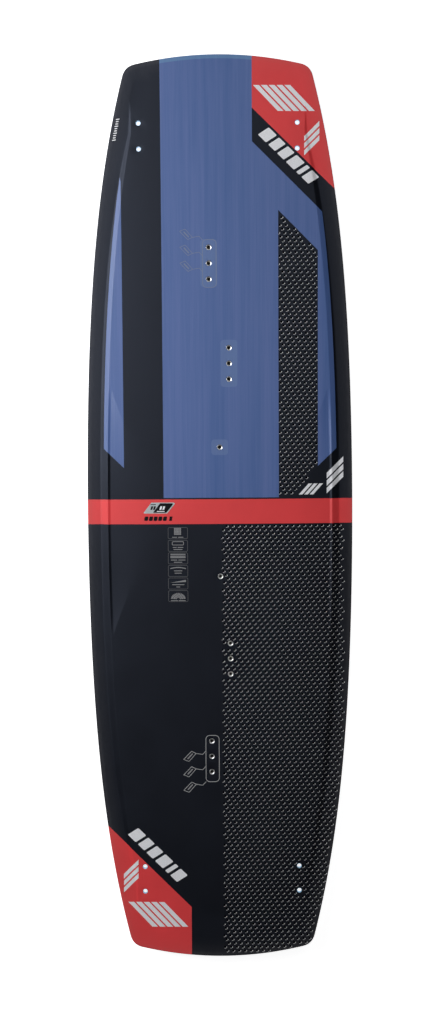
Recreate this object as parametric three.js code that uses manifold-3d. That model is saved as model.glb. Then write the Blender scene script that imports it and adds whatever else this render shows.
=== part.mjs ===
// A twin-tip kiteboard deck, taken apart as it is built: two printed glass skins, four carbon ribbons, a core of
// nine glued wood strips, four edge rails, six insert blocks, fourteen threaded inserts, four fin plugs and a foil
// size label.
//
// Millimetres. X runs across the board, Y along it and Z up out of the deck. The origin is on the ground under
// the board's middle. Every surface is one of two height functions, deckHeight and baseHeight, moved up or down.
import * as THREE from "three";
import { mergeVertices } from "three/addons/utils/BufferGeometryUtils.js";
import Module from "manifold-3d";

const wasm = await Module();
wasm.setup();

// Outline
const HALF_LENGTH = 690;
const HALF_WIDTH = 205;
const SIDE_TAPER = 37.5; // how far the side draws in by the tip, as the square of the way there
const SIDE_TAPER_STEEP = 33; // and as its fourth power
const TIP_RADIUS = 580;
const CORNER_REACH = 14; // how far along each edge from the corner point its rounding starts
const TIP_STEPS = 8;
const CORNER_STEPS = 3;

// Side view
const ROCKER = 40;
const ROCKER_POWER = 2.2;
const FLAT_HALF = 60; // half the length of the flat stretch the board stands on

// Cross-section
const CONCAVE = 5;
const CONCAVE_LOSS_AT_TIP = 0.6;
const RAIL_FLAT = 24; // width of the flat strip along the base's edge
const RAIL_THICKNESS = 5.5;
const RAIL_TAPER = 0.03; // how fast the deck falls from the bevel's foot out to the edge
const DECK_RISE = 4.4; // how much thicker the deck is inside the bevel than at the rail
const DECK_RISE_END = 625; // distance from the middle at which the bevel has run out
const BEVEL_CREST = 31.5; // distance of the bevel's top edge from the board's edge
const CREST_STRAIGHT_FROM = 575; // from here to the tip the bevel's top edge runs straight, nearer to the edge
const LEAST_CREST = 20;
const BEVEL_SLOPE = 0.4;
const SCOOP_DEPTH = 1.5; // the shallow scoop that leaves a ridge along each side amidships
const SCOOP_HALF_LENGTH = 190;
const SCOOP_END_POWER = 8; // how abruptly the scoop ends
const SCOOP_WALL = 3.6;
const SCOOP_SPREAD = 0.4; // how fast the scoop widens from its pointed ends
const SCOOP_LEAST_WIDTH = 14;

// Layers, from each face inwards, with a glue line between each two
const SKIN = 1.2; // printed film on glass laminate
const CARBON = 0.25;
const GLUE_LINE = 0.1;
const CORE_DEPTH = SKIN + CARBON + 2 * GLUE_LINE;
const CARBON_WIDTH = 36;
const CARBON_HALF_LENGTH = 600;

// Core and rails
const STRIP_COUNT = 9;
const RAIL_WIDTH = 12;
const SIDE_GAP = 0.3; // clear gap between pieces that stand side by side
const STRIP_PITCH = (2 * (HALF_WIDTH - RAIL_WIDTH - SIDE_GAP)) / STRIP_COUNT;
const TIP_RAIL_FROM = 640;

// Hardware
const INSERT_PITCH = 24;
const STANCE_HALF = 304.8; // 24 inches between the feet
const PAD_SPACING = 152.4; // 6 inches between a pad's outer and inner bolts
const PAD_SIDE_OFFSET = 15; // the outer bolts sit this far to one side and the inner ones to the other
const HANDLE_Y = 100;
const INSERT_BARREL_RADIUS = 4.5;
const INSERT_BORE_RADIUS = 2.5;
const INSERT_FLANGE_RADIUS = 8;
const INSERT_FLANGE_HEIGHT = 1.5;
const INSERT_FLOOR = 2; // metal left under the blind bore
const INSERT_CLEARANCE = 0.4;
const INSERT_RECESS = 0.3; // how far the insert's top stays below the deck
const BLOCK_WIDTH = 26;
const BLOCK_END = 12; // block beyond its last insert's centre
const BLOCK_CORNER = 5;
const FIN_X = 120;
const FIN_Y = 571.3;
const FIN_HOLE_SPACING = 38.1;
const FIN_HOLE_RADIUS = 3.25;
const PLUG_WIDTH = 20;
const PLUG_LENGTH = 60;
const ROUND_SIDES = 8;

// Size label
const LABEL = { x: -94, y: 5.5, width: 37, height: 17, slant: 13, thickness: 0.25 };

const MATERIALS = {
  skin: new THREE.MeshStandardMaterial({ color: 0x23272f, roughness: 0.45, metalness: 0 }),
  base: new THREE.MeshStandardMaterial({ color: 0x1c2230, roughness: 0.35, metalness: 0 }),
  carbon: new THREE.MeshStandardMaterial({ color: 0x15161a, roughness: 0.4, metalness: 0.1 }),
  wood: new THREE.MeshStandardMaterial({ color: 0xc9a877, roughness: 0.75, metalness: 0 }),
  rail: new THREE.MeshStandardMaterial({ color: 0x17191d, roughness: 0.5, metalness: 0 }),
  block: new THREE.MeshStandardMaterial({ color: 0x5f7fbe, roughness: 0.5, metalness: 0 }),
  plug: new THREE.MeshStandardMaterial({ color: 0x6aa2d8, roughness: 0.4, metalness: 0 }),
  steel: new THREE.MeshStandardMaterial({ color: 0xb9bcc0, roughness: 0.3, metalness: 1 }),
  foil: new THREE.MeshStandardMaterial({ color: 0xc4ced2, roughness: 0.25, metalness: 0.8 }),
};

// ---- Heights ------------------------------------------------------------------------------------------------

// Half the board's width at a distance y from its middle, before the tip and the corners are cut.
function halfWidth(y) {
  const u = y / HALF_LENGTH;
  return HALF_WIDTH - SIDE_TAPER * u ** 2 - SIDE_TAPER_STEEP * u ** 4;
}

function rocker(y) {
  const run = Math.max(0, Math.abs(y) - FLAT_HALF) / (HALF_LENGTH - FLAT_HALF);
  return ROCKER * run ** ROCKER_POWER;
}

function rockerAngle(y) {
  const step = 1;
  return Math.atan2(rocker(y + step) - rocker(y - step), 2 * step);
}

function baseHeight(x, y) {
  const depth = CONCAVE * (1 - CONCAVE_LOSS_AT_TIP * (y / HALF_LENGTH) ** 4);
  const across = x / (halfWidth(y) - RAIL_FLAT);
  return rocker(y) + depth * Math.max(0, 1 - across ** 2);
}

function deckRise(y) {
  return DECK_RISE * Math.max(0, 1 - (y / DECK_RISE_END) ** 4);
}

function bevelWidth(y) {
  return Math.max(2, deckRise(y) / BEVEL_SLOPE);
}

function bevelCrest(y) {
  const drawnIn = halfWidth(CREST_STRAIGHT_FROM) - halfWidth(Math.max(CREST_STRAIGHT_FROM, Math.abs(y)));
  return Math.max(LEAST_CREST, BEVEL_CREST - drawnIn);
}

function scoopWidth(y) {
  return Math.max(SCOOP_LEAST_WIDTH, SCOOP_SPREAD * (SCOOP_HALF_LENGTH - Math.abs(y)));
}

// What the scoop takes off the deck at a distance d in from the edge.
function scoop(d, y) {
  const depth = SCOOP_DEPTH * Math.max(0, 1 - (y / SCOOP_HALF_LENGTH) ** SCOOP_END_POWER);
  const wall = (d - BEVEL_CREST) / SCOOP_WALL;
  const facet = 1 - (d - BEVEL_CREST - SCOOP_WALL) / scoopWidth(y);
  return depth * THREE.MathUtils.clamp(Math.min(wall, facet), 0, 1);
}

function deckHeight(x, y) {
  const d = halfWidth(y) - Math.abs(x);
  const fromFoot = d - bevelCrest(y) + bevelWidth(y);
  const rise = deckRise(y) * THREE.MathUtils.clamp(fromFoot / bevelWidth(y), 0, 1);
  const taper = RAIL_TAPER * Math.max(0, -fromFoot);
  return baseHeight(x, y) + RAIL_THICKNESS + rise - taper - scoop(d, y);
}

// ---- Solids -------------------------------------------------------------------------------------------------

function toSolid(geometry) {
  const bare = geometry.clone();
  bare.deleteAttribute("normal");
  bare.deleteAttribute("uv");
  const merged = mergeVertices(bare, 1e-4);
  return new wasm.Manifold(
    new wasm.Mesh({
      numProp: 3,
      vertProperties: merged.attributes.position.array,
      triVerts: new Uint32Array(merged.index.array),
    }),
  );
}

function toGeometry(solid) {
  const mesh = solid.getMesh();
  return new THREE.BufferGeometry()
    .setAttribute("position", new THREE.BufferAttribute(mesh.vertProperties, 3))
    .setIndex(new THREE.BufferAttribute(mesh.triVerts, 1));
}

// Where the grid's rows stand along Y. The sides of the outline have their points on the same rows, all but the
// last, which lies past the tips and is wider than the board.
const LAST_ROW = HALF_LENGTH + 5;
const ROWS_OUT = [
  FLAT_HALF, 130, 165, SCOOP_HALF_LENGTH, 300, 390, 470, 537, CREST_STRAIGHT_FROM, 605, TIP_RAIL_FROM, LAST_ROW,
];
const ROWS = [...ROWS_OUT.map((y) => -y).reverse(), 0, ...ROWS_OUT];
const TRIM = 3;

const sheetEdge = (y, inset) => halfWidth(y) - inset + (Math.abs(y) === LAST_ROW ? TRIM : 0);

// X positions of the deck's grid lines at y, on the lines where its slope changes.
function deckColumns(y, inset) {
  const w = halfWidth(y);
  const crest = w - bevelCrest(y);
  const right = [
    crest - SCOOP_WALL - scoopWidth(y),
    crest - SCOOP_WALL,
    crest,
    crest + bevelWidth(y),
    sheetEdge(y, inset),
  ];
  return [...right.map((x) => -x).reverse(), 0, ...right];
}

function baseColumns(y, inset) {
  const flat = halfWidth(y) - RAIL_FLAT;
  const right = [flat / 2, flat, sheetEdge(y, inset)];
  return [...right.map((x) => -x).reverse(), 0, ...right];
}

// A closed body between two height functions, on one grid of columns and rows.
function gridSolid(columns, inset, lower, upper) {
  const across = columns(0, inset).length;
  const positions = [];
  for (const height of [lower, upper])
    for (const y of ROWS) for (const x of columns(y, inset)) positions.push(x, y, height(x, y));
  const layer = ROWS.length * across;
  const at = (level, i, j) => level * layer + i * across + j;
  const index = [];
  const quad = (a, b, c, d) => index.push(a, b, c, a, c, d);
  for (let i = 0; i + 1 < ROWS.length; i++) {
    for (let j = 0; j + 1 < across; j++) {
      quad(at(1, i, j), at(1, i, j + 1), at(1, i + 1, j + 1), at(1, i + 1, j));
      quad(at(0, i, j), at(0, i + 1, j), at(0, i + 1, j + 1), at(0, i, j + 1));
    }
    quad(at(0, i, 0), at(1, i, 0), at(1, i + 1, 0), at(0, i + 1, 0));
    const end = across - 1;
    quad(at(0, i, end), at(0, i + 1, end), at(1, i + 1, end), at(1, i, end));
  }
  const last = ROWS.length - 1;
  for (let j = 0; j + 1 < across; j++) {
    quad(at(0, 0, j), at(0, 0, j + 1), at(1, 0, j + 1), at(1, 0, j));
    quad(at(0, last, j), at(1, last, j), at(1, last, j + 1), at(0, last, j + 1));
  }
  const geometry = new THREE.BufferGeometry().setAttribute(
    "position",
    new THREE.Float32BufferAttribute(positions, 3),
  );
  return toSolid(geometry.setIndex(index));
}

// A sheet lying from `near` to `far` below the deck, or the same above the base.
const underDeck = (near, far, inset = 0) =>
  gridSolid(deckColumns, inset, (x, y) => deckHeight(x, y) - far, (x, y) => deckHeight(x, y) - near);
const overBase = (near, far, inset = 0) =>
  gridSolid(baseColumns, inset, (x, y) => baseHeight(x, y) + near, (x, y) => baseHeight(x, y) + far);

const PRISM_BOTTOM = -30;
const PRISM_HEIGHT = 140;

function prism(shape, curveSteps = CORNER_STEPS) {
  const geometry = new THREE.ExtrudeGeometry(shape, {
    depth: PRISM_HEIGHT,
    bevelEnabled: false,
    curveSegments: curveSteps,
  });
  return toSolid(geometry.translate(0, 0, PRISM_BOTTOM));
}

// The board's outline, drawn in by `inset` all round, and wide of the sides by `slack` up to the tips' trimming.
function outline(inset, slack = 0) {
  const side = (y) => halfWidth(y) - inset + (Math.abs(y) < TIP_RAIL_FROM ? slack : 0);
  const tip = (x) => HALF_LENGTH - inset - (TIP_RADIUS - Math.sqrt(TIP_RADIUS ** 2 - x ** 2));
  let cornerY = HALF_LENGTH - inset;
  for (let i = 0; i < 20; i++) cornerY = tip(side(cornerY));
  const cornerX = side(cornerY);
  const sideEnd = cornerY - CORNER_REACH;
  const tipEnd = cornerX - CORNER_REACH;
  const rows = [-sideEnd, ...ROWS.filter((y) => Math.abs(y) < sideEnd - 1), sideEnd];
  const tipAt = (i) => tipEnd - (2 * tipEnd * i) / TIP_STEPS;
  const shape = new THREE.Shape(rows.map((y) => new THREE.Vector2(side(y), y)));
  shape.quadraticCurveTo(cornerX, cornerY, tipEnd, tip(tipEnd));
  for (let i = 1; i <= TIP_STEPS; i++) shape.lineTo(tipAt(i), tip(tipAt(i)));
  shape.quadraticCurveTo(-cornerX, cornerY, -side(sideEnd), sideEnd);
  for (const y of rows.slice(1)) shape.lineTo(-side(y), -y);
  shape.quadraticCurveTo(-cornerX, -cornerY, -tipEnd, -tip(tipEnd));
  for (let i = 1; i <= TIP_STEPS; i++) shape.lineTo(-tipAt(i), -tip(tipAt(i)));
  shape.quadraticCurveTo(cornerX, -cornerY, side(sideEnd), -sideEnd);
  return shape;
}

function rectangle(x0, x1, y0, y1) {
  return new THREE.Shape([
    new THREE.Vector2(x0, y0),
    new THREE.Vector2(x1, y0),
    new THREE.Vector2(x1, y1),
    new THREE.Vector2(x0, y1),
  ]);
}

// A rectangle about (x, y) with round corners.
function roundedRectangle(x, y, width, length, radius) {
  const [l, r, b, t] = [x - width / 2, x + width / 2, y - length / 2, y + length / 2];
  const shape = new THREE.Shape();
  shape.moveTo(r, b + radius);
  shape.lineTo(r, t - radius);
  shape.absarc(r - radius, t - radius, radius, 0, Math.PI / 2);
  shape.absarc(l + radius, t - radius, radius, Math.PI / 2, Math.PI);
  shape.absarc(l + radius, b + radius, radius, Math.PI, 1.5 * Math.PI);
  shape.absarc(r - radius, b + radius, radius, 1.5 * Math.PI, 2 * Math.PI);
  return shape;
}

// A cylinder standing square to the deck at (x, y), from z `from` to `to` along its own axis.
function post(x, y, radius, from, to) {
  const geometry = new THREE.CylinderGeometry(radius, radius, to - from, ROUND_SIDES);
  geometry.rotateX(Math.PI / 2).translate(0, 0, (from + to) / 2);
  geometry.rotateX(rockerAngle(y)).translate(x, y, baseHeight(x, y));
  return toSolid(geometry);
}

// ---- Places of the hardware ---------------------------------------------------------------------------------

const inserts = [];
const blocks = [];
for (const [end, sign] of [["a", 1], ["b", -1]]) {
  const groups = [
    { role: "outer", x: -PAD_SIDE_OFFSET, y: sign * (STANCE_HALF + PAD_SPACING / 2), count: 3 },
    { role: "inner", x: PAD_SIDE_OFFSET, y: sign * (STANCE_HALF - PAD_SPACING / 2), count: 3 },
    { role: "handle", x: 0, y: sign * HANDLE_Y, count: 1 },
  ];
  for (const { role, x, y, count } of groups) {
    const length = (count - 1) * INSERT_PITCH + 2 * BLOCK_END;
    const block = { name: `insert_block_${role}_${end}`, x, y, length, inserts: [] };
    for (let i = 0; i < count; i++) {
      const insertY = y + (i - (count - 1) / 2) * INSERT_PITCH;
      const number = count > 1 ? `_${i + 1}` : "";
      block.inserts.push({ name: `insert_${role}_${end}${number}`, x, y: insertY });
    }
    blocks.push(block);
    inserts.push(...block.inserts);
  }
}

const plugs = [];
for (const [end, sign] of [["a", 1], ["b", -1]])
  for (const [side, x] of [["left", -FIN_X], ["right", FIN_X]]) {
    const y = sign * FIN_Y;
    const holes = [y - FIN_HOLE_SPACING / 2, y + FIN_HOLE_SPACING / 2];
    plugs.push({ name: `fin_plug_${side}_${end}`, x, y, holes });
  }

// ---- Pieces -------------------------------------------------------------------------------------------------

const board = new THREE.Group();

function addMesh(name, geometry, material) {
  const mesh = new THREE.Mesh(geometry, material);
  mesh.name = name;
  board.add(mesh);
  return mesh;
}

const addSolid = (name, solid, material) => addMesh(name, toGeometry(solid), material);

const trim = prism(outline(0, TRIM));
const PAST = 20; // how far a cutter reaches past the face it opens

const finBores = plugs.flatMap(({ x, holes }) => holes.map((y) => post(x, y, FIN_HOLE_RADIUS, -PAST, PAST)));
const barrelRoom = inserts.map(({ x, y }) =>
  post(x, y, INSERT_BARREL_RADIUS + INSERT_CLEARANCE, -PAST, PAST),
);
const finCutter = wasm.Manifold.union(finBores);
const barrelCutter = wasm.Manifold.union(barrelRoom);

const topSkin = underDeck(0, SKIN).intersect(trim).subtract(finCutter).subtract(barrelCutter);
addSolid("top_skin", topSkin, MATERIALS.skin);
addSolid("bottom_skin", overBase(0, SKIN).intersect(trim).subtract(finCutter), MATERIALS.base);

// Everything between the two skins is cut from one blank.
const FAR_BELOW = 25;
const FAR_ABOVE = 90;
const overCoreFloor = (inset) =>
  gridSolid(baseColumns, inset, (x, y) => baseHeight(x, y) + CORE_DEPTH, () => FAR_ABOVE);
const CORE_INSET = RAIL_WIDTH + SIDE_GAP;
const blank = underDeck(CORE_DEPTH, FAR_BELOW, CORE_INSET).intersect(overCoreFloor(CORE_INSET - TRIM));

// Carbon ribbons lie between each skin and the core, along the third strip from each side.
const ribbonX = STRIP_PITCH * 2;
const RIBBON_FROM = SKIN + GLUE_LINE;
for (const [level, sheet] of [["top", underDeck], ["bottom", overBase]])
  for (const [side, x] of [["left", -ribbonX], ["right", ribbonX]]) {
    const [left, right] = [x - CARBON_WIDTH / 2, x + CARBON_WIDTH / 2];
    const room = prism(rectangle(left, right, -CARBON_HALF_LENGTH, CARBON_HALF_LENGTH));
    const ribbon = sheet(RIBBON_FROM, RIBBON_FROM + CARBON).intersect(room);
    addSolid(`carbon_ribbon_${level}_${side}`, ribbon, MATERIALS.carbon);
  }

const blockShape = ({ x, y, length }, gap) =>
  roundedRectangle(x, y, BLOCK_WIDTH + 2 * gap, length + 2 * gap, BLOCK_CORNER + gap);
const plugShape = ({ x, y }, gap) =>
  roundedRectangle(x, y, PLUG_WIDTH + 2 * gap, PLUG_LENGTH + 2 * gap, PLUG_WIDTH / 2 + gap - 0.5);
const PLUG_STEPS = 3;
const BLOCK_STEPS = 2;

const pockets = wasm.Manifold.union([
  ...blocks.map((block) => prism(blockShape(block, SIDE_GAP), BLOCK_STEPS)),
  ...plugs.map((plug) => prism(plugShape(plug, SIDE_GAP), PLUG_STEPS)),
]);
const core = blank.intersect(prism(outline(CORE_INSET, TRIM))).subtract(pockets);
for (let i = 0; i < STRIP_COUNT; i++) {
  const left = (i - STRIP_COUNT / 2) * STRIP_PITCH;
  const cut = rectangle(left + SIDE_GAP / 2, left + STRIP_PITCH - SIDE_GAP / 2, -HALF_LENGTH, HALF_LENGTH);
  addSolid(`core_strip_${i + 1}`, core.intersect(prism(cut)), MATERIALS.wood);
}

// The rails stand outside the bevel, under the deck's taper.
const railColumns = (y) => [halfWidth(y) - RAIL_WIDTH, sheetEdge(y, 0)];
const railFloor = (x, y) => baseHeight(x, y) + CORE_DEPTH;
const railTop = (x, y) => deckHeight(x, y) - CORE_DEPTH;
const rightRail = gridSolid(railColumns, 0, railFloor, railTop);
const betweenTips = prism(rectangle(-HALF_WIDTH - TRIM, HALF_WIDTH + TRIM, -TIP_RAIL_FROM, TIP_RAIL_FROM));
addSolid("side_rail_left", rightRail.mirror([1, 0, 0]).intersect(betweenTips), MATERIALS.rail);
addSolid("side_rail_right", rightRail.intersect(betweenTips), MATERIALS.rail);

const tipBand = underDeck(CORE_DEPTH, FAR_BELOW)
  .intersect(overCoreFloor(-TRIM))
  .intersect(trim)
  .subtract(prism(outline(RAIL_WIDTH)));
for (const [end, sign] of [["a", 1], ["b", -1]]) {
  const ys = [sign * (TIP_RAIL_FROM + SIDE_GAP), sign * LAST_ROW].sort((p, q) => p - q);
  const cut = prism(rectangle(-HALF_WIDTH, HALF_WIDTH, ...ys));
  addSolid(`tip_rail_${end}`, tipBand.intersect(cut), MATERIALS.rail);
}

// Each insert block is drilled right through for the barrels and counterbored from below for the flanges.
const FLANGE_SEAT = CORE_DEPTH + SIDE_GAP;
for (const block of blocks) {
  const cutters = block.inserts.flatMap(({ x, y }) => [
    post(x, y, INSERT_BARREL_RADIUS + INSERT_CLEARANCE, -PAST, PAST),
    post(x, y, INSERT_FLANGE_RADIUS + INSERT_CLEARANCE, -PAST, FLANGE_SEAT + INSERT_FLANGE_HEIGHT + SIDE_GAP),
  ]);
  const solid = blank.intersect(prism(blockShape(block, 0), BLOCK_STEPS)).subtract(wasm.Manifold.union(cutters));
  addSolid(block.name, solid, MATERIALS.block);
}

for (const plug of plugs)
  addSolid(plug.name, blank.intersect(prism(plugShape(plug, 0), PLUG_STEPS)).subtract(finCutter), MATERIALS.plug);

// A threaded insert: a flange at the bottom and a barrel up to the deck, bored from the top with a closed floor.
for (const { name, x, y } of inserts) {
  const lean = Math.cos(rockerAngle(y));
  const height = (deckHeight(x, y) - baseHeight(x, y)) * lean - FLANGE_SEAT - INSERT_RECESS;
  const profile = [
    [0, 0],
    [INSERT_FLANGE_RADIUS, 0],
    [INSERT_FLANGE_RADIUS, INSERT_FLANGE_HEIGHT],
    [INSERT_BARREL_RADIUS, INSERT_FLANGE_HEIGHT],
    [INSERT_BARREL_RADIUS, height],
    [INSERT_BORE_RADIUS, height],
    [INSERT_BORE_RADIUS, INSERT_FLOOR],
    [0, INSERT_FLOOR],
  ].map(([r, z]) => new THREE.Vector2(r, z));
  const geometry = new THREE.LatheGeometry(profile, ROUND_SIDES);
  geometry.rotateX(Math.PI / 2).translate(0, 0, FLANGE_SEAT);
  const mesh = addMesh(name, geometry, MATERIALS.steel);
  mesh.position.set(x, y, baseHeight(x, y));
  mesh.rotation.x = rockerAngle(y);
}

const labelShape = new THREE.Shape(
  [
    [-LABEL.width / 2 - LABEL.slant / 2, -LABEL.height / 2],
    [LABEL.width / 2 - LABEL.slant / 2, -LABEL.height / 2],
    [LABEL.width / 2 + LABEL.slant / 2, LABEL.height / 2],
    [-LABEL.width / 2 + LABEL.slant / 2, LABEL.height / 2],
  ].map(([x, y]) => new THREE.Vector2(LABEL.x + x, LABEL.y + y)),
);
const foil = underDeck(-LABEL.thickness - GLUE_LINE, -GLUE_LINE);
addSolid("size_label", foil.intersect(prism(labelShape)), MATERIALS.foil);

export default board;
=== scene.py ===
"""The looks of a bare twin-tip kiteboard deck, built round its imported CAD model.

Shapes are worked out in millimetres in the CAD's own frame (X across, Y along, Z up) and turned into metres
when a mesh is made. The deck and the base are each one surface, cut along the lines of the print into pieces
that share their edges. Everything printed on them in a second colour is a film of ink with a real thickness.
"""

import math

import bpy
import numpy as np
from mathutils import Matrix, Vector, geometry


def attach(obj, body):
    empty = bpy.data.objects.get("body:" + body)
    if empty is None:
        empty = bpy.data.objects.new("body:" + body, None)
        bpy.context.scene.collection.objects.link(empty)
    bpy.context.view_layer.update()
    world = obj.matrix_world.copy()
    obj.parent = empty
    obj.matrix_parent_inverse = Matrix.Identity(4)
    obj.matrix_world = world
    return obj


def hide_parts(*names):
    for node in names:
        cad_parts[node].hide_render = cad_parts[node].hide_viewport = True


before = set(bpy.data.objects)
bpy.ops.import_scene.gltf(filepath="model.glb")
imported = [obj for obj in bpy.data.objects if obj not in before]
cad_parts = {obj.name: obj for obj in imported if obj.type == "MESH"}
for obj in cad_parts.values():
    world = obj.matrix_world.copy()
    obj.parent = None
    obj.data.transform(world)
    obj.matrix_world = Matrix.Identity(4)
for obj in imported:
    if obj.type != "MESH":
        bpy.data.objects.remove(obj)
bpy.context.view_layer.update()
MM = 0.001

# ---- The board's shape ----

HALF_LENGTH = 690
HALF_WIDTH = 205
SIDE_TAPER = 37.5
SIDE_TAPER_STEEP = 33
TIP_RADIUS = 580
CORNER_REACH = 14
ROCKER = 40
ROCKER_POWER = 2.2
FLAT_HALF = 60
CONCAVE = 5
CONCAVE_LOSS_AT_TIP = 0.6
RAIL_FLAT = 24
RAIL_THICKNESS = 5.5
RAIL_TAPER = 0.03
DECK_RISE = 4.4
DECK_RISE_END = 625
BEVEL_CREST = 31.5
CREST_STRAIGHT_FROM = 575
LEAST_CREST = 20
BEVEL_SLOPE = 0.4
LEAST_BEVEL = 2
SCOOP_DEPTH = 1.5
SCOOP_HALF_LENGTH = 190
SCOOP_END_POWER = 8
SCOOP_WALL = 3.6
SCOOP_SPREAD = 0.4
LEAST_SPREAD = 3
SKIN = 1.2
EDGE_ROUND = 1.0
CREASE_ROUND = 0.9
FOOT_ROUND = 1.2
HOLE_ROUND = 0.4
RAIL_JOINT = 640
SIDE_POINTS = 129
CORE_INSET = 12.3
STRIPS = 9
STRIP_PITCH = 2 * (HALF_WIDTH - CORE_INSET) / STRIPS

ENDS = (("a", 1), ("b", -1))
INSERT_PITCH = 24
INSERT_GROUPS = (("outer", -15, 381.0, 3), ("inner", 15, 228.6, 3), ("handle", 0, 100.0, 1))
INSERT_SPOTS = [
    (
        f"insert_{role}_{end}" + (f"_{i + 1}" if count > 1 else ""),
        x,
        sign * y0 + (i - (count - 1) / 2) * INSERT_PITCH,
    )
    for end, sign in ENDS
    for role, x, y0, count in INSERT_GROUPS
    for i in range(count)
]
INSERT_HOLE = 4.3
FIN_BORE, FIN_HOLE = 3.25, 3.8
FIN_X, FIN_Y = 120, 571.3
FIN_BOLTS = (-19.05, 19.05)
FIN_PLUGS = [
    (f"fin_plug_{side}_{end}", x, sign * FIN_Y)
    for end, sign in ENDS
    for side, x in (("left", -FIN_X), ("right", FIN_X))
]
# Holes are (x, y, radius).
BASE_HOLES = [(x, y + dy, FIN_HOLE) for _, x, y in FIN_PLUGS for dy in FIN_BOLTS]
DECK_HOLES = [(x, y, INSERT_HOLE) for _, x, y in INSERT_SPOTS] + BASE_HOLES


def half_width(y):
    u = np.asarray(y) / HALF_LENGTH
    return HALF_WIDTH - SIDE_TAPER * u**2 - SIDE_TAPER_STEEP * u**4


def tip_line(x, inset=0.0):
    return HALF_LENGTH - inset - (TIP_RADIUS - np.sqrt(TIP_RADIUS**2 - np.asarray(x) ** 2))


def rocker(y):
    run = np.maximum(0, np.abs(y) - FLAT_HALF) / (HALF_LENGTH - FLAT_HALF)
    return ROCKER * run**ROCKER_POWER


def ramp(t, r):
    """max(0, t), with its corner rounded over r each side."""
    return np.where(t <= -r, 0, np.where(t >= r, t, (t + r) ** 2 / (4 * r)))


def base_height(x, y):
    depth = CONCAVE * (1 - CONCAVE_LOSS_AT_TIP * (y / HALF_LENGTH) ** 4)
    across = x / (half_width(y) - RAIL_FLAT)
    return rocker(y) + depth * np.maximum(0, 1 - across**2)


def bevel_width(y):
    """The bevel's width across the board and its rise, which runs out towards the tips."""
    rise = DECK_RISE * np.maximum(0, 1 - (y / DECK_RISE_END) ** 4)
    return np.maximum(LEAST_BEVEL, rise / BEVEL_SLOPE), rise


def bevel_crest(y):
    """How far in from the side the bevel's top is. It draws in less than the side does near the tips."""
    drawn_in = half_width(CREST_STRAIGHT_FROM) - half_width(np.maximum(CREST_STRAIGHT_FROM, np.abs(y)))
    return np.maximum(LEAST_CREST, BEVEL_CREST - drawn_in)


def scoop_width(y):
    """How far the scoop spreads in from its wall: nothing at its ends, most amidships."""
    return np.maximum(LEAST_SPREAD, SCOOP_SPREAD * (SCOOP_HALF_LENGTH - np.abs(y)))


def relief(d, y):
    """The rail's taper, the bevel and the scoop, at a distance d in from the side."""
    width, rise = bevel_width(y)
    slope = rise / width
    crest = bevel_crest(y)
    up = slope * (ramp(d - crest + width, FOOT_ROUND) - ramp(d - crest, CREASE_ROUND))
    taper = RAIL_TAPER * np.maximum(0, crest - width - d)
    depth = SCOOP_DEPTH * np.maximum(0, 1 - (y / SCOOP_HALF_LENGTH) ** SCOOP_END_POWER)
    spread = scoop_width(y)
    fall, climb = depth / SCOOP_WALL, depth / spread
    start = d - BEVEL_CREST
    # The wider the scoop is, the softer it ends.
    end_round = np.maximum(CREASE_ROUND, 0.8 * (spread - 20))
    down = (
        fall * ramp(start, CREASE_ROUND)
        - (fall + climb) * ramp(start - SCOOP_WALL, CREASE_ROUND)
        + climb * ramp(start - SCOOP_WALL - spread, end_round)
    )
    return up - taper - down


def outline_parts(inset=0.0):
    """The outline drawn in by inset, as four runs of points: right side, tip a, left side, tip b."""
    side = lambda y: half_width(y) - inset
    corner_y = HALF_LENGTH - inset
    for _ in range(30):
        corner_y = float(tip_line(side(corner_y), inset))
    corner_x = float(side(corner_y))
    side_end, tip_end = corner_y - CORNER_REACH, corner_x - CORNER_REACH
    ys = np.linspace(-RAIL_JOINT, RAIL_JOINT, SIDE_POINTS)
    right = np.column_stack([side(ys), ys])
    rise = np.linspace(RAIL_JOINT, side_end, 5)
    bend = np.linspace(0, 1, 13)[1:-1, None]
    p0 = np.array([side(side_end), side_end])
    p1 = np.array([corner_x, corner_y])
    p2 = np.array([tip_end, tip_line(tip_end, inset)])
    curve = (1 - bend) ** 2 * p0 + 2 * bend * (1 - bend) * p1 + bend**2 * p2
    xs = np.linspace(tip_end, -tip_end, 31)
    tip = np.column_stack([xs, tip_line(xs, inset)])
    quarter = np.vstack([np.column_stack([side(rise), rise]), curve])
    tip_a = np.vstack([quarter, tip, (quarter * [-1, 1])[::-1]])
    return [right, tip_a, -right, -tip_a]


def outline(inset=0.0):
    return np.vstack([part[:-1] for part in outline_parts(inset)])


BOARD_LOOP = outline()
# How many points are compared with a loop at once.
CHUNK = 4000


def segment_distance(points, loop):
    """How far each point is from the nearest side of a closed loop."""
    a, b = loop, np.roll(loop, -1, axis=0)
    ab = b - a
    length2 = (ab**2).sum(1)
    best = np.full(len(points), np.inf)
    for i in range(0, len(points), CHUNK):
        p = points[i : i + CHUNK, None, :]
        t = np.clip(((p - a) * ab).sum(2) / length2, 0, 1)
        best[i : i + CHUNK] = np.sqrt((((a + t[..., None] * ab) - p) ** 2).sum(2)).min(1)
    return best


def edge_drop(x, y):
    """How far the surface has curved away at the board's very edge."""
    near = (half_width(y) - np.abs(x) < 6) | (tip_line(np.clip(x, -250, 250)) - np.abs(y) < 6)
    near |= (np.abs(y) > 655) & (np.abs(x) > 110)
    drop = np.zeros(np.shape(x))
    if near.any():
        d = segment_distance(np.column_stack([x[near], y[near]]), BOARD_LOOP)
        d = np.clip(EDGE_ROUND - d, 0, EDGE_ROUND * 0.97)
        drop[near] = EDGE_ROUND - np.sqrt(EDGE_ROUND**2 - d**2)
    return drop


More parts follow.
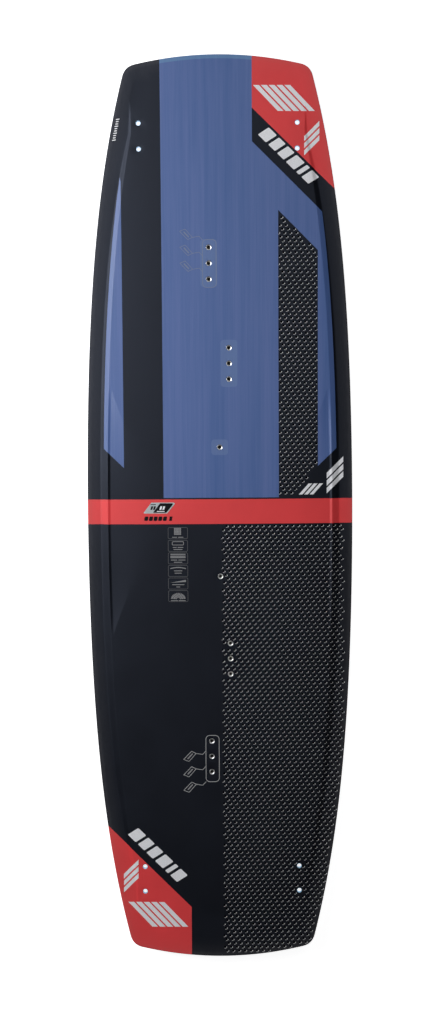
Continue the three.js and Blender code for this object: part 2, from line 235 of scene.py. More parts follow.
def hole_drop(x, y, holes):
    """How far the surface has curved away at the softened rim of each hole."""
    drop = np.zeros(np.shape(x))
    for hx, hy, radius in holes:
        t = 1 - (np.hypot(x - hx, y - hy) - radius) / HOLE_ROUND
        drop += HOLE_ROUND * 0.6 * np.clip(t, 0, 1) ** 2
    return drop


def deck_body(x, y):
    return base_height(x, y) + RAIL_THICKNESS + relief(half_width(y) - np.abs(x), y)


def deck_height(x, y):
    return deck_body(x, y) - edge_drop(x, y) - hole_drop(x, y, DECK_HOLES)


def under_height(x, y):
    return base_height(x, y) + edge_drop(x, y) + hole_drop(x, y, BASE_HOLES)


def on_deck(offset):
    return lambda x, y: deck_body(x, y) + offset


def on_base(offset):
    return lambda x, y: base_height(x, y) + offset


def surface_normals(height, x, y, step=0.15):
    dx = (height(x + step, y) - height(x - step, y)) / (2 * step)
    dy = (height(x, y + step) - height(x, y - step)) / (2 * step)
    n = np.column_stack([-dx, -dy, np.ones(len(x))])
    return n / np.linalg.norm(n, axis=1)[:, None]


# ---- Mesh making ----

# A triangle whose middle is nearer to a hole's centre than this part of the radius lies in the hole.
HOLE_PART = 0.985


def circle(x, y, radius, count=24):
    a = np.linspace(0, 2 * math.pi, count, endpoint=False)
    return np.column_stack([x + radius * np.cos(a), y + radius * np.sin(a)])


def polyline(*corners, step=8.0):
    """The points of a line through the corners, with more between them wherever they are far apart."""
    points = [corners[0]]
    for a, b in zip(corners, corners[1:]):
        n = max(1, math.ceil(math.dist(a, b) / step))
        points += [(a[0] + (b[0] - a[0]) * i / n, a[1] + (b[1] - a[1]) * i / n) for i in range(1, n + 1)]
    return np.array(points)


def closed(*corners, step=8.0):
    return polyline(*corners, corners[0], step=step)[:-1]


def rounded_box(x, y, width, height, radius, steps=5, slant=0.0):
    """A closed loop about (x, y). slant shifts the top to the right and the bottom to the left."""
    loop = []
    for cx, cy, start in ((1, 1, 0), (-1, 1, 90), (-1, -1, 180), (1, -1, 270)):
        for i in range(steps + 1):
            a = math.radians(start + 90 * i / steps)
            px = cx * (width / 2 - radius) + radius * math.cos(a)
            py = cy * (height / 2 - radius) + radius * math.sin(a)
            loop.append((x + px + slant * py / height, y + py))
    return closed(*loop)


def inside(points, loop):
    """Which points lie inside a closed loop."""
    a, b = loop, np.roll(loop, -1, axis=0)
    result = np.zeros(len(points), bool)
    for i in range(0, len(points), CHUNK):
        px, py = points[i : i + CHUNK, 0, None], points[i : i + CHUNK, 1, None]
        crosses = (a[:, 1] > py) != (b[:, 1] > py)
        rise = np.where(b[:, 1] == a[:, 1], 1e-9, b[:, 1] - a[:, 1])
        at = a[:, 0] + (py - a[:, 1]) * (b[:, 0] - a[:, 0]) / rise
        result[i : i + CHUNK] = (crosses & (px < at)).sum(1) % 2 == 1
    return result


def clear_of(points, holes, margin=0.0, part=1.0):
    """Which points lie further out than a part of each hole's radius plus a margin."""
    keep = np.ones(len(points), bool)
    for x, y, radius in holes:
        keep &= np.hypot(points[:, 0] - x, points[:, 1] - y) > radius * part + margin
    return keep


def triangulate(loops, lines=(), points=()):
    """Triangles over the plan, with every loop and line kept as edges. Returns points and triangles."""
    coords, edges = [], []
    for run, is_loop in [(loop, True) for loop in loops] + [(line, False) for line in lines]:
        start = len(coords)
        coords += [Vector(p) for p in np.asarray(run, float).tolist()]
        n = len(run)
        edges += [(start + i, start + (i + 1) % n) for i in range(n if is_loop else n - 1)]
    coords += [Vector(p) for p in np.asarray(points, float).tolist()]
    result = geometry.delaunay_2d_cdt(coords, edges, [], 0, 1e-4, False)
    flat = np.array([tuple(v) for v in result[0]])
    return flat, np.array([f for f in result[2] if len(f) == 3])


def new_object(name, data):
    obj = bpy.data.objects.new(name, data)
    bpy.context.scene.collection.objects.link(obj)
    return obj


def make_object(name, verts, faces, materials, face_slots=None, normals=None, smooth=True):
    mesh = bpy.data.meshes.new(name)
    mesh.from_pydata((np.asarray(verts) * MM).tolist(), [], [list(map(int, f)) for f in faces])
    for m in materials:
        mesh.materials.append(m)
    mesh.polygons.foreach_set("use_smooth", [smooth] * len(mesh.polygons))
    if face_slots is not None:
        mesh.polygons.foreach_set("material_index", list(map(int, face_slots)))
    mesh.update()
    if normals is not None:
        mesh.normals_split_custom_set([tuple(n) for n in normals])
    obj = new_object(name, mesh)
    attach(obj, "root")
    return obj


def boundary_edges(faces):
    """The directed edges that only one face has."""
    directed = {}
    for f in faces:
        for a, b in zip(f, np.roll(f, -1)):
            directed[(int(a), int(b))] = True
    return [(a, b) for a, b in directed if (b, a) not in directed]


def skin_piece(name, flat, faces, rim, height, body, down, material):
    """One printed region of a skin, with the skin's cut edge wherever the region reaches the board's edge."""
    used = np.unique(faces)
    index = {int(v): i for i, v in enumerate(used)}
    x, y = flat[used, 0], flat[used, 1]
    top = np.column_stack([x, y, height(x, y)])
    n = surface_normals(height, x, y)
    if not down:
        n = -n
    sheet = [[index[int(v)] for v in (f if down else f[::-1])] for f in faces]
    loop_normals = [n[v] for f in sheet for v in f]
    verts = [tuple(p) for p in top]
    side = -SKIN if down else SKIN
    for a, b in rim:
        if a not in index or b not in index:
            continue
        pa, pb = flat[a], flat[b]
        z = body(np.array([pa[0], pb[0]]), np.array([pa[1], pb[1]])) + side
        i = len(verts)
        verts += [(pa[0], pa[1], z[0]), (pb[0], pb[1], z[1])]
        quad = [index[a], i, i + 1, index[b]]
        sheet.append(quad if down else quad[::-1])
        out = np.array([pb[1] - pa[1], pa[0] - pb[0], 0])
        loop_normals += [out / np.linalg.norm(out)] * 4
    obj = make_object(name, verts, sheet, [material], normals=loop_normals)
    from_edge = segment_distance(np.array(verts)[:, :2], BOARD_LOOP)
    # How far the film turns paler near the board's edge: partly real wear, partly a painted highlight where
    # the rounded edge catches light.
    wear_and_sheen = np.interp(from_edge, [0, 1.2, 3, 8, 15, 22], [0.3, 1, 1, 0.4, 0.25, 0])
    obj.data.attributes.new("edge_wear_and_sheen", "FLOAT", "POINT").data.foreach_set("value", wear_and_sheen)
    return obj


def plate(loops, top, bottom, holes=(), points=()):
    """A closed body between two heights, over the plan area that an odd number of loops holds, less holes.

    It is returned as vertices, faces and normals.
    """
    flat, faces = triangulate([*loops, *(circle(*hole) for hole in holes)], points=points)
    mid = flat[faces].mean(1)
    odd = np.zeros(len(mid), int)
    for loop in loops:
        odd += inside(mid, loop)
    faces = faces[(odd % 2 == 1) & clear_of(mid, holes, part=HOLE_PART)]
    used = np.unique(faces)
    index = {int(v): i for i, v in enumerate(used)}
    x, y = flat[used, 0], flat[used, 1]
    n = len(used)
    zt, zb = top(x, y), bottom(x, y)
    verts = np.vstack([np.column_stack([x, y, zt]), np.column_stack([x, y, zb])])
    up = surface_normals(top, x, y)
    sheet, loop_normals = [], []
    for f in faces:
        f = [index[int(v)] for v in f]
        sheet += [f, [v + n for v in f[::-1]]]
        loop_normals += [up[v] for v in f] + [-up[v] for v in f[::-1]]
    for a, b in boundary_edges(faces):
        a, b = index[a], index[b]
        out = np.array([y[b] - y[a], x[a] - x[b], 0])
        sheet.append([a, a + n, b + n, b])
        loop_normals += [out / np.linalg.norm(out)] * 4
    return verts, sheet, loop_normals


def join_plates(name, parts, materials, slots=None):
    """One object from several plates. slots gives each plate's material."""
    verts, faces, normals, face_slots, start = [], [], [], [], 0
    for k, (v, f, n) in enumerate(parts):
        verts.append(v)
        faces += [[i + start for i in face] for face in f]
        normals += n
        face_slots += [slots[k] if slots else 0] * len(f)
        start += len(v)
    return make_object(name, np.vstack(verts), faces, materials, face_slots, normals)


# ---- Materials ----


class Nodes:
    """A material's node tree, with short ways to add and join nodes."""

    def __init__(self, name, **plain):
        self.material = bpy.data.materials.new(name)
        self.material.use_nodes = True
        self.tree = self.material.node_tree
        self.shader = self.tree.nodes["Principled BSDF"]
        for socket, value in plain.items():
            self.shader.inputs[socket.replace("_", " ")].default_value = value
        self.place = self.add("ShaderNodeTexCoord").outputs["Object"]

    def add(self, kind, inputs=None, **settings):
        """A new node. inputs gives a value, or another node's output, for each of its sockets."""
        node = self.tree.nodes.new(kind)
        for key, value in settings.items():
            setattr(node, key, value)
        for key, value in (inputs or {}).items():
            self.put(node.inputs[key], value)
        return node

    def put(self, socket, value):
        if isinstance(value, bpy.types.NodeSocket):
            self.tree.links.new(value, socket)
        else:
            socket.default_value = value

    def noise(self, scale, detail=3.0, roughness=0.55, distortion=0.0):
        """Noise, with so many features to the metre along each axis."""
        stretched = self.add("ShaderNodeMapping", {"Vector": self.place, "Scale": scale}).outputs["Vector"]
        inputs = {"Vector": stretched, "Scale": 1.0, "Detail": detail}
        inputs |= {"Roughness": roughness, "Distortion": distortion}
        return self.add("ShaderNodeTexNoise", inputs).outputs["Fac"]

    def math(self, operation, a, b=0.0):
        return self.add("ShaderNodeMath", {0: a, 1: b}, operation=operation).outputs[0]

    def spread(self, value, low, high, from_low=0.3, from_high=0.7):
        """A value mapped onto low to high. Noise mostly lies between 0.3 and 0.7."""
        inputs = {"Value": value, "From Min": from_low, "From Max": from_high, "To Min": low, "To Max": high}
        return self.add("ShaderNodeMapRange", inputs).outputs["Result"]

    def mix(self, factor, a, b):
        a, b = ((*c, 1.0) if isinstance(c, tuple) else c for c in (a, b))
        return self.add("ShaderNodeMix", {0: factor, 6: a, 7: b}, data_type="RGBA").outputs[2]

    def axis(self, name):
        return self.add("ShaderNodeSeparateXYZ", {0: self.place}).outputs[name]

    def bump(self, height, distance, strength):
        node = self.add("ShaderNodeBump", {"Height": height, "Distance": distance, "Strength": strength})
        self.put(self.shader.inputs["Normal"], node.outputs["Normal"])

    def finish(self, colour, roughness):
        self.put(self.shader.inputs["Base Color"], colour)
        self.put(self.shader.inputs["Roughness"], roughness)
        return self.material


def scaled(colour, k):
    return tuple(min(1.0, c * k) for c in colour)


def film(name, colour, worn_and_lit, roughness=0.43, drift=0.12, sheen=(1.0, 1.0, 1.0, 1.0)):
    """Printed film: even colour, a little cloudiness, hairline rubs in the gloss, and a paler edge that is
    partly wear and partly a painted highlight of the rounded edge.
    """
    m = Nodes(name, IOR=1.45, Specular_Tint=sheen)
    cloud = m.noise((14, 14, 14), detail=4)
    grain = m.noise((1400, 1400, 1400), detail=2)
    tone = m.mix(m.spread(cloud, 0, 1), scaled(colour, 1 - drift), scaled(colour, 1 + drift))
    tone = m.mix(m.spread(grain, 0, 0.10), tone, scaled(colour, 1.6))
    edge = m.add("ShaderNodeAttribute", attribute_name="edge_wear_and_sheen").outputs["Fac"]
    # Paler towards the edge: wear together with a painted edge highlight.
    tone = m.mix(m.math("MULTIPLY", edge, m.spread(m.noise((500, 90, 500), detail=3), 0.6, 1.0)), tone, worn_and_lit)
    rubs = m.noise((700, 26, 40), detail=3, distortion=0.6)
    gloss = m.math("ADD", m.spread(cloud, roughness - 0.03, roughness + 0.03), m.spread(rubs, -0.025, 0.05))
    m.bump(m.noise((420, 420, 420), detail=2), 0.00002, 0.5)
    return m.finish(tone, gloss)


def veneer_film(name, dark, light):
    """Translucent film over the wood core: the strips and their grain show through it as paler streaks."""
    m = Nodes(name, IOR=1.45)
    streaks = m.noise((120, 2.2, 30), detail=5, roughness=0.6, distortion=0.25)
    hairs = m.noise((900, 9, 60), detail=3, roughness=0.6)
    cloud = m.noise((9, 4, 9), detail=3)
    from_side = m.math("ADD", m.axis("X"), STRIPS / 2 * STRIP_PITCH * MM)
    plank = m.math("FLOOR", m.math("DIVIDE", from_side, STRIP_PITCH * MM))
    tint = m.add("ShaderNodeTexWhiteNoise", noise_dimensions="1D")
    m.put(tint.inputs["W"], plank)
    level = m.math("ADD", m.spread(streaks, -0.32, 0.32), m.spread(hairs, -0.16, 0.16))
    level = m.math("ADD", level, m.spread(tint.outputs["Value"], -0.12, 0.12, 0, 1))
    level = m.math("ADD", level, m.spread(cloud, 0.38, 0.62))
    tone = m.mix(m.spread(level, 0, 1, 0, 1), dark, light)
    m.bump(hairs, 0.00002, 0.4)
    return m.finish(tone, m.spread(streaks, 0.32, 0.38))


def ink(name, colour, roughness=0.5, ior=1.45):
    m = Nodes(name, IOR=ior)
    speck = m.noise((900, 900, 900), detail=3)
    tone = m.mix(m.spread(speck, 0, 1), scaled(colour, 0.9), scaled(colour, 1.06))
    return m.finish(tone, m.spread(speck, roughness - 0.05, roughness + 0.08))


def moulded(name, colour, roughness=0.42, milled=False):
    """Moulded or milled plastic: fine pebbling, or fine lines left along the length by the cutter."""
    m = Nodes(name)
    cloud = m.noise((40, 40, 40), detail=4)
    fine = m.noise((60, 6, 2600) if milled else (1100, 1100, 1100), detail=3)
    tone = m.mix(m.spread(cloud, 0, 1), scaled(colour, 0.86), scaled(colour, 1.16))
    tone = m.mix(m.spread(fine, 0, 0.25), tone, scaled(colour, 1.5))
    m.bump(fine, 0.00004, 0.6)
    return m.finish(tone, m.spread(fine, roughness - 0.06, roughness + 0.12))


def wood(name):
    """Pale straight-grained paulownia."""
    m = Nodes(name)
    rings = m.noise((70, 1.6, 50), detail=6, roughness=0.65, distortion=0.5)
    pores = m.noise((1500, 22, 900), detail=3)
    tone = m.mix(m.spread(rings, 0, 1), (0.62, 0.44, 0.25), (0.40, 0.26, 0.13))
    tone = m.mix(m.spread(pores, 0, 0.5, 0.5, 0.75), tone, (0.24, 0.15, 0.08))
    m.bump(pores, 0.00015, 0.7)
    return m.finish(tone, m.spread(rings, 0.62, 0.8))


def carbon(name):
    """Unidirectional carbon tape set in resin."""
    m = Nodes(name, Coat_Weight=0.4, Coat_Roughness=0.15)
    tows = m.noise((900, 4, 900), detail=4, roughness=0.7)
    tone = m.mix(m.spread(tows, 0, 1), (0.008, 0.008, 0.009), (0.05, 0.05, 0.055))
    m.bump(tows, 0.00005, 0.6)
    return m.finish(tone, m.spread(tows, 0.25, 0.5))


def turned_steel(name):
    m = Nodes(name, Metallic=0.8)
    lines = m.noise((260, 260, 5200), detail=3)
    stain = m.noise((300, 300, 300), detail=3)
    tone = m.mix(m.spread(stain, 0, 1), (0.66, 0.67, 0.68), (0.84, 0.84, 0.84))
    m.bump(lines, 0.00002, 0.5)
    return m.finish(tone, m.spread(lines, 0.2, 0.42))


def foil(name):
    m = Nodes(name, Metallic=0.85)
    brushed = m.noise((160, 3600, 160), detail=3)
    tone = m.mix(m.spread(brushed, 0, 1), (0.46, 0.52, 0.54), (0.66, 0.72, 0.74))
    return m.finish(tone, m.spread(brushed, 0.26, 0.4))


WORN_AND_LIT_BLACK = (0.034, 0.033, 0.035)
COOL, COOLER = (0.66, 0.75, 1.0, 1.0), (0.56, 0.64, 0.86, 1.0)
BLACK = film("black_film", (0.0016, 0.0020, 0.0036), WORN_AND_LIT_BLACK, drift=0.3, sheen=COOL)
RED = film("red_film", (0.78, 0.050, 0.055), (0.72, 0.072, 0.074), drift=0.05)
GRIP_BLACK = film("black_grip_film", (0.0014, 0.0017, 0.0030), WORN_AND_LIT_BLACK, drift=0.3, sheen=COOLER)
BLUE = veneer_film("blue_film_over_wood", (0.056, 0.122, 0.330), (0.110, 0.168, 0.400))
BLUE_OVER_BLOCK = veneer_film("blue_film_over_block", (0.100, 0.165, 0.37), (0.122, 0.20, 0.42))
PALE_BLUE = veneer_film("blue_film_over_glass", (0.095, 0.20, 0.40), (0.125, 0.25, 0.47))
WHITE_INK = ink("white_ink", (0.88, 0.89, 0.93))
# Pale ink for the edge ticks, and also for the painted highlights on the pocks' rims.
PALE_INK_AND_HIGHLIGHT = ink("pale_grey_ink_and_painted_highlight", (0.88, 0.89, 0.91))
GREY_INK = ink("grey_ink", (0.26, 0.265, 0.275))
STANCE_INK = ink("stance_ink", (0.42, 0.43, 0.44))
DIM_INK = ink("dim_ink", (0.11, 0.115, 0.125))
FAINT_INK = ink("faint_ink", (0.19, 0.23, 0.33))
BLACK_INK = ink("black_ink", (0.006, 0.006, 0.008), 0.4, 1.2)
# Near-black ink used only as painted shade in the pits of the grip pocks.
PIT_SHADE_INK = ink("painted_pit_shade_ink", (0.0015, 0.0015, 0.002), 0.8, 1.1)
ABS_BLACK = moulded("black_abs", (0.014, 0.015, 0.018), milled=True)
ABS_BLUE = moulded("pale_blue_abs", (0.36, 0.62, 0.85), 0.35)
BLOCK_PLASTIC = moulded("block_plastic", (0.12, 0.22, 0.52), 0.5)
STEEL = turned_steel("turned_steel")
# The threads' near-black colour is painted shade inside each insert's bore, not the steel's own colour.
BORE_SHADE = moulded("painted_bore_shade", (0.02, 0.018, 0.015), 0.6)
FOIL = foil("label_foil")

# ---- Deck and base skins ----

ROW_STEP = 10.0


def grid_points(columns, holes):
    """Rows of points across the board, left out where a hole's rim has its own."""
    rows = []
    for y in (*np.arange(-680, 681, ROW_STEP), -DECK_RISE_END, DECK_RISE_END):
        xs = np.array(columns(y))
        rows.append(np.column_stack([xs, np.full(len(xs), y)]))
    points = np.vstack(rows)
    return points[inside(points, outline(2.5)) & clear_of(points, holes, 2.0)]


def column_lines(offsets, reach=650.0, step=ROW_STEP):
    """Lines down both sides at each distance in from the edge. offsets gives the distances at y."""
    ys = np.arange(-reach, reach + 1, step)
    table = np.array([offsets(y) for y in ys])
    lines = []
    for k in range(table.shape[1]):
        x = half_width(ys) - table[:, k]
        lines += [np.column_stack([x, ys]), np.column_stack([-x, ys])]
    return lines


def crease_offsets(y):
    """The distances in from the side of the bevel's foot and crest, and of the base's flat strip."""
    width, _ = bevel_width(y)
    crest = bevel_crest(y)
    foot = crest - width
    folds = [foot + k * FOOT_ROUND for k in (-1, -0.3, 0.5, 1)] + [crest - width / 2, RAIL_FLAT]
    return folds + [crest + k * CREASE_ROUND for k in (-1, -0.4, 0.2, 1)]


def wall_offsets(y):
    """The distances in from the side of the foot of the scoop's wall."""
    low = BEVEL_CREST + SCOOP_WALL
    return [low - 1.2, low, low + 1.2]


def facet_offsets(y):
    """The distances in from the side of the scoop's inner end."""
    end = BEVEL_CREST + SCOOP_WALL + scoop_width(y)
    return [end - 1.2, end + 1.2]


def inner_columns(y):
    reach = float(half_width(y)) - 45
    n = int(reach / 11)
    return [reach * i / n for i in range(-n, n + 1)]


def base_columns(y):
    flat = float(half_width(y)) - RAIL_FLAT
    return [flat * i / 14 for i in range(-14, 15)]


# Loops inside the outline, close together where the edge is rounded.
RIMS = [outline(inset) for inset in (0.0, 0.15, 0.5, 1.05, 2.4, 5.0, 8.0)]


def hole_loops(holes):
    """Each hole's edge, and two loops for its rounded rim."""
    return [circle(x, y, r + extra, 28) for x, y, r in holes for extra in (0, 0.2, 0.42)]


def side_band(y_low, y_high, inset, sign=1):
    """Points down one side at a distance in from the edge, from y_low up to y_high."""
    ys = np.linspace(y_low, y_high, int((y_high - y_low) / 8))
    return np.column_stack([sign * (half_width(ys) - inset), ys])


FAR = 800.0
BAND_LOW, BAND_HIGH, BLUE_LOW = -18.5, 19.8, 22.0
BLUE_LEFT, BLUE_RIGHT_TOP, PANEL_LEFT, PANEL_RIGHT = -87.0, 51.5, 91.0, 151.5
RED_A_Y = 612.0
RED_A_END = (BLUE_RIGHT_TOP + 200, RED_A_Y - 191)
RED_B_X, RED_B_Y, RED_B_SLOPE = -48.0, -614.6, 0.968
GRIP_LEFT = 2.7
right_border = side_band(97.5, 458.0, 24.0)
left_border = side_band(98.3, 511.0, 25.3, -1)
blue_end = [(x, float(tip_line(x)) - 6.0) for x in np.linspace(BLUE_LEFT, BLUE_RIGHT_TOP, 15)]


def oblong(x0, y0, x1, y1):
    return closed((x0, y0), (x1, y0), (x1, y1), (x0, y1))


# Each region's film and outline. Where two outlines cover the same place, it belongs to the first.
DECK_REGIONS = {
    "deck_red_band": (RED, oblong(-FAR, BAND_LOW, FAR, BAND_HIGH)),
    "deck_red_corner_a": (
        RED,
        closed((BLUE_RIGHT_TOP, RED_A_Y), RED_A_END, (FAR, RED_A_END[1]), (FAR, FAR), (BLUE_RIGHT_TOP, FAR)),
    ),
    "deck_blue_tip": (PALE_BLUE, closed((BLUE_LEFT, FAR), *blue_end, (BLUE_RIGHT_TOP, FAR))),
    "deck_blue": (
        BLUE,
        closed(
            (BLUE_LEFT, BLUE_LOW),
            (PANEL_LEFT, BLUE_LOW),
            (PANEL_LEFT, 460.5),
            (PANEL_RIGHT, 400.0),
            (PANEL_RIGHT, 70.0),
            *map(tuple, right_border),
            (BLUE_RIGHT_TOP, 562.5),
            (BLUE_RIGHT_TOP, FAR),
            (BLUE_LEFT, FAR),
        ),
    ),
    "deck_blue_left": (BLUE, closed(*map(tuple, left_border), (-148.0, 504.0), (-148.0, 68.5))),
    "deck_red_corner_b": (
        RED,
        closed(
            (RED_B_X, RED_B_Y),
            (RED_B_X, -FAR),
            (-FAR, -FAR),
            (-FAR, RED_B_Y + RED_B_SLOPE * (FAR + RED_B_X)),
        ),
    ),
    "deck_black_lower_right": (GRIP_BLACK, oblong(GRIP_LEFT, BAND_LOW, FAR, -FAR)),
    "deck_black_lower_left": (BLACK, oblong(GRIP_LEFT, BAND_LOW, -FAR, -FAR)),
    "deck_black_right": (BLACK, oblong(0.0, BAND_HIGH, FAR, FAR)),
    "deck_black_left": (BLACK, oblong(0.0, BAND_HIGH, -FAR, FAR)),
}


def cut(loop, x, y, degrees):
    """What is left of a loop to the left of a straight line through (x, y)."""
    a = math.radians(degrees)
    side = (loop - [x, y]) @ np.array([-math.sin(a), math.cos(a)])
    kept = []
    for i in range(len(loop)):
        p, q, sp, sq = loop[i - 1], loop[i], side[i - 1], side[i]
        if (sp > 0) != (sq > 0):
            kept.append(p + (q - p) * sp / (sp - sq))
        if sq > 0:
            kept.append(q)
    return np.array(kept)


BASE_FIELD = outline(30.0)
BASE_REGIONS = {
    "base_blue": (BLUE, cut(BASE_FIELD, 0, 150, 45)),
    "base_red_stripe": (RED, cut(cut(BASE_FIELD, 0, 138, 225), 0, 86, 45)),
    "base_black": (BLACK, oblong(-FAR, -FAR, FAR, FAR)),
}


def clipped(loop):
    """A region's outline, kept near the board, as lines for the triangulation."""
    near = (np.abs(loop) < [HALF_WIDTH + 25, HALF_LENGTH + 30]).all(1)
    return [
        np.array([loop[i], loop[(i + 1) % len(loop)]])
        for i in range(len(loop))
        if near[i] and near[(i + 1) % len(loop)]
    ]


def build_skin(regions, lines, columns, holes, height, body, down, node):
    """One skin, made as a single sheet and then shared out among its printed regions."""
    region_lines = [line for _, loop in regions.values() for line in clipped(loop)]
    flat, faces = triangulate(RIMS + hole_loops(holes), lines + region_lines, grid_points(columns, holes))
    a, b, c = flat[faces[:, 0]], flat[faces[:, 1]], flat[faces[:, 2]]
    area = (b[:, 0] - a[:, 0]) * (c[:, 1] - a[:, 1]) - (c[:, 0] - a[:, 0]) * (b[:, 1] - a[:, 1])
    faces = np.where((area < 0)[:, None], faces[:, ::-1], faces)[np.abs(area) > 1e-9]
    mid = flat[faces].mean(1)
    keep = inside(mid, RIMS[0]) & clear_of(mid, holes, part=HOLE_PART)
    faces, mid = faces[keep], mid[keep]
    rim = boundary_edges(faces)
    left = np.ones(len(faces), bool)
    for name, (film_used, loop) in regions.items():
        here = left & inside(mid, loop)
        left &= ~here
        piece = skin_piece(name, flat, faces[here], rim, height, body, down, film_used)
        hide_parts(node)


crease_lines = (
    column_lines(crease_offsets, step=ROW_STEP / 2)
    + column_lines(wall_offsets, SCOOP_HALF_LENGTH + 5.0, ROW_STEP / 2)
    + column_lines(facet_offsets, SCOOP_HALF_LENGTH - 5.0, ROW_STEP / 2)
)
build_skin(
    DECK_REGIONS, crease_lines, inner_columns, DECK_HOLES, deck_height, deck_body, True,
    "top_skin",
)
build_skin(
    BASE_REGIONS, column_lines(lambda y: [RAIL_FLAT]), base_columns, BASE_HOLES, under_height,
    base_height, False, "bottom_skin",
)

# ---- Edge rails ----

RAIL_SECTION = [  # distance in from the edge, and how far up between the two skins
    (11.5, 0.0), (1.0, 0.0), (0.45, 0.04), (0.22, 0.14), (0.12, 0.32), (0.1, 0.5),
    (0.12, 0.68), (0.22, 0.86), (0.45, 0.96), (1.0, 1.0), (11.5, 1.0),
]
RAIL_END_GAP = 0.3


def rail(name, part):
    """One rail: its section carried along its part of the outline, between the two skins."""
    rings = []
    for inset, t in RAIL_SECTION:
        run = outline_parts(inset)[part]
        x, y = run[:, 0], run[:, 1]
        low, high = base_height(x, y) + SKIN, deck_body(x, y) - SKIN
        rings.append(np.column_stack([x, y, low + (high - low) * t]))
    rings = np.array(rings)
    count, length = rings.shape[:2]
    if name.startswith("tip"):
        ends = rings[:, [0, -1], 1]
        rings[:, [0, -1], 1] = ends + np.sign(ends) * RAIL_END_GAP
    at = lambda k, i: (k % count) * length + i
    faces = [
        (at(k, i + 1), at(k + 1, i + 1), at(k + 1, i), at(k, i))
        for k in range(count)
        for i in range(length - 1)
    ]
    faces += [[at(k, 0) for k in range(count)], [at(k, length - 1) for k in range(count)][::-1]]
    obj = make_object(name + "_band", rings.reshape(-1, 3), faces, [ABS_BLACK])
    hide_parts(name)


for rail_name, part in (("side_rail_right", 0), ("tip_rail_a", 1), ("side_rail_left", 2), ("tip_rail_b", 3)):
    rail(rail_name, part)

# ---- Inserts and fin plugs ----

INSERT_SEAT = 1.95
INSERT_BELOW_DECK = 0.1
SHARP_EDGE = math.radians(28)
GAP = 0.05
PLUG_BELOW_SKIN = 0.12


def lathe(profile, count=40):
    """A closed body turned about Z from a loop of (radius, height)."""
    m = len(profile)
    verts = [
        (r * math.cos(a), r * math.sin(a), z)
        for a in np.linspace(0, 2 * math.pi, count, endpoint=False)
        for r, z in profile
    ]
    faces = [
        (i * m + k, (i + 1) % count * m + k, (i + 1) % count * m + (k + 1) % m, i * m + (k + 1) % m)
        for i in range(count)
        for k in range(m)
    ]
    return np.array(verts), faces


def place(verts, x, y, z):
    """Stand a body on the base's slope at (x, y)."""
    angle = math.atan2(float(rocker(y + 1) - rocker(y - 1)), 2)
    turn = np.array(Matrix.Rotation(angle, 3, "X"))
    return verts @ turn.T + [x, y, z]


def insert_profile(height):
    """A flanged insert's half section: up its outside, over its rim, down its countersink and thread.

    The second value is how many of its points come before the thread.
    """
    outside = [(0.01, 0), (7.7, 0), (8, 0.3), (8, 1.2), (7.7, 1.5), (4.7, 1.5), (4.5, 1.7)]
    outside += [(4.5, height - 1.6), (4.15, height - 1.4)]
    rim = [(4.15, height - 0.2), (4.08, height - 0.06), (3.95, height), (3.8, height - 0.03)]
    rim += [(2.75, height - 0.47)]
    thread = []
    z = height - 0.7
    while z > 2.6:
        thread += [(2.6, z), (2.5, z - 0.4), (2.35, z - 0.45), (2.35, z - 0.55)]
        z -= 1.0
    return outside + rim + thread + [(2.35, 2.2), (0.01, 1.5)], len(outside + rim)


for insert_name, x, y in INSERT_SPOTS:
    seat = float(base_height(x, y)) + INSERT_SEAT
    top = float(deck_body(np.array([x]), np.array([y]))[0]) - INSERT_BELOW_DECK
    profile, bore_from = insert_profile(top - seat)
    verts, faces = lathe(profile)
    ring_count = len(profile)
    # The thread faces take the near-black painted bore shade.
    slots = [1 if (i % ring_count) >= bore_from + 1 else 0 for i in range(len(faces))]
    piece = make_object(insert_name + "_turned", place(verts, x, y, seat), faces, [STEEL, BORE_SHADE], slots)
    piece.modifiers.new("edges", "EDGE_SPLIT").split_angle = SHARP_EDGE
    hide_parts(insert_name)

# Each plug is a body between the skins, with collars round its bores that come almost flush with them.
for plug_name, x, y in FIN_PLUGS:
    bores = [circle(x, y + dy, FIN_BORE, 32) for dy in FIN_BOLTS]
    collars = [circle(x, y + dy, FIN_HOLE - GAP, 32) for dy in FIN_BOLTS]
    parts = [plate([rounded_box(x, y, 20, 60, 9.5, 8), *bores], on_deck(-SKIN - GAP), on_base(SKIN + GAP))]
    for loops in zip(collars, bores):
        parts.append(plate(loops, on_deck(-PLUG_BELOW_SKIN), on_deck(-SKIN - 0.06)))
        parts.append(plate(loops, on_base(SKIN + 0.06), on_base(PLUG_BELOW_SKIN)))
    piece = join_plates(plug_name + "_moulded", parts, [ABS_BLUE])
    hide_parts(plug_name)

# ---- Print ----

INK = 0.12
SUNK = 0.05
DIAGONAL = -43.8


def turned(loop, x, y, degrees):
    a = math.radians(degrees)
    c, s = math.cos(a), math.sin(a)
    p = np.asarray(loop)
    return np.column_stack([x + p[:, 0] * c - p[:, 1] * s, y + p[:, 0] * s + p[:, 1] * c])


def bar(x, y, width, height, degrees=0.0, radius=0.5, slant=0.0):
    return turned(rounded_box(0, 0, width, height, radius, 3, slant), x, y, degrees)


def stroke(thickness, *corners):
    """A printed line through the corners."""
    shapes = []
    for p, q in zip(corners, corners[1:]):
        angle = math.degrees(math.atan2(q[1] - p[1], q[0] - p[0]))
        length = math.dist(p, q) + thickness * 0.9
        shapes.append(bar((p[0] + q[0]) / 2, (p[1] + q[1]) / 2, length, thickness, angle, thickness * 0.45))
    return shapes


def near_holes(loop, margin):
    """The bolt holes that a shape has to be cut back from."""
    low, high = loop.min(0) - 8, loop.max(0) + 8
    return [(x, y, r + margin) for x, y, r in DECK_HOLES if low[0] < x < high[0] and low[1] < y < high[1]]


